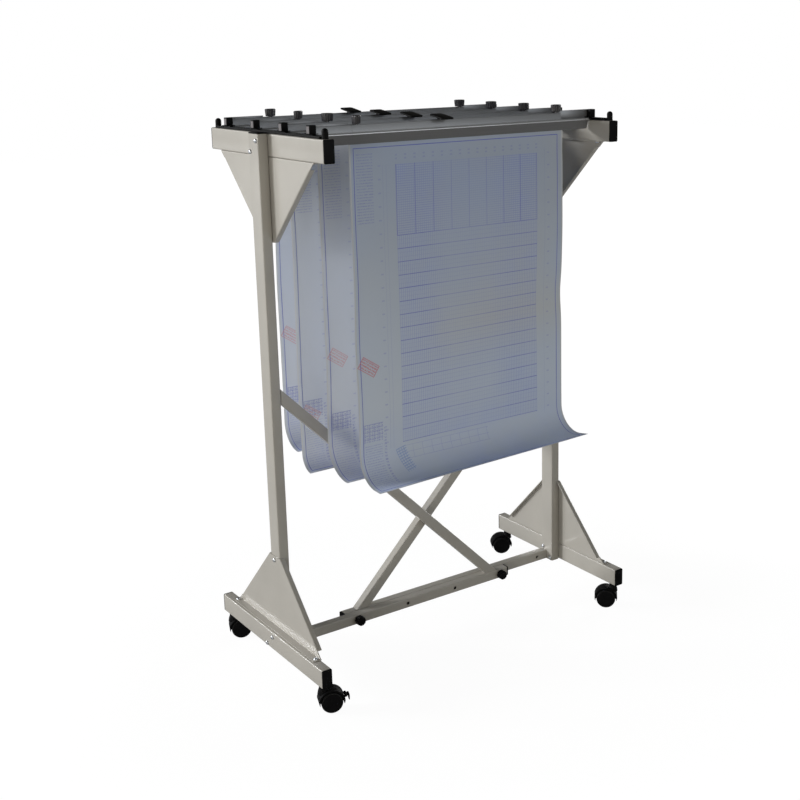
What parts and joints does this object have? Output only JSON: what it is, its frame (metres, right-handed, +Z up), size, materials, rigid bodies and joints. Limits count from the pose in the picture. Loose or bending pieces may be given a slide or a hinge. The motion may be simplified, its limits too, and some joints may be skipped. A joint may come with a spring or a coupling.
{
  "type": "plan hanging rack",
  "caption": "Mobile rack for large plans: tubular end frames on twin-wheel casters, an adjustable-width base, and lift-off clamps that hang sheets from ribbed rails.",
  "frame": {"origin": "on the floor, midway between the two end frames", "axes": "+X along the clamps to the right end frame, +Y to the back, +Z up"},
  "size_m": [0.9189, 0.5486, 1.3238],
  "materials": {
    "powder_coat": "satin beige-grey powder coat on steel",
    "black_plastic": "moulded, satin",
    "clamp_aluminium": "extruded, anodised",
    "plan_paper": "printed paper"
  },
  "bodies": {
    "rack": {"left_upright": "powder_coat", "left_foot": "powder_coat", "left_arm": "powder_coat", "left_lower_gusset": "powder_coat", "left_upper_gusset": "powder_coat", "left_rail": "black_plastic", "left_arm_front_cap": "black_plastic", "left_arm_rear_cap": "black_plastic", "left_foot_front_cap": "black_plastic", "left_foot_rear_cap": "black_plastic", "right_upright": "powder_coat", "right_foot": "powder_coat", "right_arm": "powder_coat", "right_lower_gusset": "powder_coat", "right_upper_gusset": "powder_coat", "right_rail": "black_plastic", "right_arm_front_cap": "black_plastic", "right_arm_rear_cap": "black_plastic", "right_foot_front_cap": "black_plastic", "right_foot_rear_cap": "black_plastic", "front_crossbar": "powder_coat", "rear_crossbar": "powder_coat", "front_brace": "powder_coat", "rear_brace": "powder_coat"},
    "left_width_knob": {"left_width_knob": "black_plastic"},
    "right_width_knob": {"right_width_knob": "black_plastic"},
    "front_left_caster": {"front_left_caster_hood": "black_plastic"},
    "front_left_wheels": {"front_left_caster_wheels": "black_plastic"},
    "rear_left_caster": {"rear_left_caster_hood": "black_plastic"},
    "rear_left_wheels": {"rear_left_caster_wheels": "black_plastic"},
    "front_right_caster": {"front_right_caster_hood": "black_plastic"},
    "front_right_wheels": {"front_right_caster_wheels": "black_plastic"},
    "rear_right_caster": {"rear_right_caster_hood": "black_plastic"},
    "rear_right_wheels": {"rear_right_caster_wheels": "black_plastic"},
    "front_left_brake": {"front_left_brake_lever": "black_plastic"},
    "clamp_1": {"clamp_1_hanger": "clamp_aluminium", "clamp_1_handle": "black_plastic", "plan_1": "plan_paper"},
    "clamp_1_bar": {"clamp_1_wedge_bar": "clamp_aluminium"},
    "clamp_1_left_knob": {"clamp_1_left_knob": "black_plastic"},
    "clamp_1_right_knob": {"clamp_1_right_knob": "black_plastic"},
    "clamp_2": {"clamp_2_hanger": "clamp_aluminium", "clamp_2_handle": "black_plastic", "plan_2": "plan_paper"},
    "clamp_2_bar": {"clamp_2_wedge_bar": "clamp_aluminium"},
    "clamp_2_left_knob": {"clamp_2_left_knob": "black_plastic"},
    "clamp_2_right_knob": {"clamp_2_right_knob": "black_plastic"},
    "clamp_3": {"clamp_3_hanger": "clamp_aluminium", "clamp_3_handle": "black_plastic", "plan_3": "plan_paper"},
    "clamp_3_bar": {"clamp_3_wedge_bar": "clamp_aluminium"},
    "clamp_3_left_knob": {"clamp_3_left_knob": "black_plastic"},
    "clamp_3_right_knob": {"clamp_3_right_knob": "black_plastic"},
    "clamp_4": {"clamp_4_hanger": "clamp_aluminium", "clamp_4_handle": "black_plastic", "plan_4": "plan_paper"},
    "clamp_4_bar": {"clamp_4_wedge_bar": "clamp_aluminium"},
    "clamp_4_left_knob": {"clamp_4_left_knob": "black_plastic"},
    "clamp_4_right_knob": {"clamp_4_right_knob": "black_plastic"}
  },
  "joints": [
    {"name": "left_width_knob_turn", "type": "hinge", "parent": "rack", "child": "left_width_knob", "pos_m": [-0.22095, -0.0228, 0.0785], "axis": [0, -1, 0], "continuous": true},
    {"name": "right_width_knob_turn", "type": "hinge", "parent": "rack", "child": "right_width_knob", "pos_m": [0.22095, -0.0228, 0.0785], "axis": [0, -1, 0], "continuous": true},
    {"name": "front_left_swivel", "type": "hinge", "parent": "rack", "child": "front_left_caster", "pos_m": [-0.4405, -0.23, 0.066], "axis": [0, 0, 1], "continuous": true},
    {"name": "front_left_roll", "type": "hinge", "parent": "front_left_caster", "child": "front_left_wheels", "pos_m": [-0.42359, -0.23616, 0.025], "axis": [0.342, 0.9397, 0], "continuous": true},
    {"name": "rear_left_swivel", "type": "hinge", "parent": "rack", "child": "rear_left_caster", "pos_m": [-0.4405, 0.23, 0.066], "axis": [0, 0, 1], "continuous": true},
    {"name": "rear_left_roll", "type": "hinge", "parent": "rear_left_caster", "child": "rear_left_wheels", "pos_m": [-0.4237, 0.22355, 0.025], "axis": [0.3584, 0.9336, 0], "continuous": true},
    {"name": "front_right_swivel", "type": "hinge", "parent": "rack", "child": "front_right_caster", "pos_m": [0.4405, -0.23, 0.066], "axis": [0, 0, 1], "continuous": true},
    {"name": "front_right_roll", "type": "hinge", "parent": "front_right_caster", "child": "front_right_wheels", "pos_m": [0.42712, -0.21796, 0.025], "axis": [-0.6691, -0.7431, 0], "continuous": true},
    {"name": "rear_right_swivel", "type": "hinge", "parent": "rack", "child": "rear_right_caster", "pos_m": [0.4405, 0.23, 0.066], "axis": [0, 0, 1], "continuous": true},
    {"name": "rear_right_roll", "type": "hinge", "parent": "rear_right_caster", "child": "rear_right_wheels", "pos_m": [0.42476, 0.23873, 0.025], "axis": [-0.4848, -0.8746, 0], "continuous": true},
    {"name": "front_left_brake_press", "type": "hinge", "parent": "front_left_caster", "child": "front_left_brake", "pos_m": [-0.39305, -0.24727, 0.03432], "axis": [0.342, 0.9397, 0], "range_deg": [0, 18]},
    {"name": "clamp_1_lift", "type": "slide", "parent": "rack", "child": "clamp_1", "axis": [0, 0, 1], "range_m": [0, 0.12]},
    {"name": "clamp_1_bar_rise", "type": "slide", "parent": "clamp_1", "child": "clamp_1_bar", "axis": [0, 0, 1], "range_m": [0, 0.003]},
    {"name": "clamp_1_left_knob_turn", "type": "hinge", "parent": "clamp_1_bar", "child": "clamp_1_left_knob", "pos_m": [-0.2785, -0.1911, 1.2883], "axis": [0, 0, 1], "range_deg": [0, 720]},
    {"name": "clamp_1_right_knob_turn", "type": "hinge", "parent": "clamp_1_bar", "child": "clamp_1_right_knob", "pos_m": [0.2735, -0.1911, 1.2883], "axis": [0, 0, 1], "range_deg": [0, 720]},
    {"name": "clamp_2_lift", "type": "slide", "parent": "rack", "child": "clamp_2", "axis": [0, 0, 1], "range_m": [0, 0.12]},
    {"name": "clamp_2_bar_rise", "type": "slide", "parent": "clamp_2", "child": "clamp_2_bar", "axis": [0, 0, 1], "range_m": [0, 0.003]},
    {"name": "clamp_2_left_knob_turn", "type": "hinge", "parent": "clamp_2_bar", "child": "clamp_2_left_knob", "pos_m": [-0.2785, -0.0681, 1.2883], "axis": [0, 0, 1], "range_deg": [0, 720]},
    {"name": "clamp_2_right_knob_turn", "type": "hinge", "parent": "clamp_2_bar", "child": "clamp_2_right_knob", "pos_m": [0.2735, -0.0681, 1.2883], "axis": [0, 0, 1], "range_deg": [0, 720]},
    {"name": "clamp_3_lift", "type": "slide", "parent": "rack", "child": "clamp_3", "axis": [0, 0, 1], "range_m": [0, 0.12]},
    {"name": "clamp_3_bar_rise", "type": "slide", "parent": "clamp_3", "child": "clamp_3_bar", "axis": [0, 0, 1], "range_m": [0, 0.003]},
    {"name": "clamp_3_left_knob_turn", "type": "hinge", "parent": "clamp_3_bar", "child": "clamp_3_left_knob", "pos_m": [-0.2785, 0.0649, 1.2883], "axis": [0, 0, 1], "range_deg": [0, 720]},
    {"name": "clamp_3_right_knob_turn", "type": "hinge", "parent": "clamp_3_bar", "child": "clamp_3_right_knob", "pos_m": [0.2735, 0.0649, 1.2883], "axis": [0, 0, 1], "range_deg": [0, 720]},
    {"name": "clamp_4_lift", "type": "slide", "parent": "rack", "child": "clamp_4", "axis": [0, 0, 1], "range_m": [0, 0.12]},
    {"name": "clamp_4_bar_rise", "type": "slide", "parent": "clamp_4", "child": "clamp_4_bar", "axis": [0, 0, 1], "range_m": [0, 0.003]},
    {"name": "clamp_4_left_knob_turn", "type": "hinge", "parent": "clamp_4_bar", "child": "clamp_4_left_knob", "pos_m": [-0.2785, 0.2029, 1.2883], "axis": [0, 0, 1], "range_deg": [0, 720]},
    {"name": "clamp_4_right_knob_turn", "type": "hinge", "parent": "clamp_4_bar", "child": "clamp_4_right_knob", "pos_m": [0.2735, 0.2029, 1.2883], "axis": [0, 0, 1], "range_deg": [0, 720]}
  ],
  "couplings": [
    {"joint": "clamp_1_left_knob_turn", "follows": "clamp_1_bar_rise", "rad_per_m": 4188.8},
    {"joint": "clamp_1_right_knob_turn", "follows": "clamp_1_bar_rise", "rad_per_m": 4188.8},
    {"joint": "clamp_2_left_knob_turn", "follows": "clamp_2_bar_rise", "rad_per_m": 4188.8},
    {"joint": "clamp_2_right_knob_turn", "follows": "clamp_2_bar_rise", "rad_per_m": 4188.8},
    {"joint": "clamp_3_left_knob_turn", "follows": "clamp_3_bar_rise", "rad_per_m": 4188.8},
    {"joint": "clamp_3_right_knob_turn", "follows": "clamp_3_bar_rise", "rad_per_m": 4188.8},
    {"joint": "clamp_4_left_knob_turn", "follows": "clamp_4_bar_rise", "rad_per_m": 4188.8},
    {"joint": "clamp_4_right_knob_turn", "follows": "clamp_4_bar_rise", "rad_per_m": 4188.8}
  ]
}
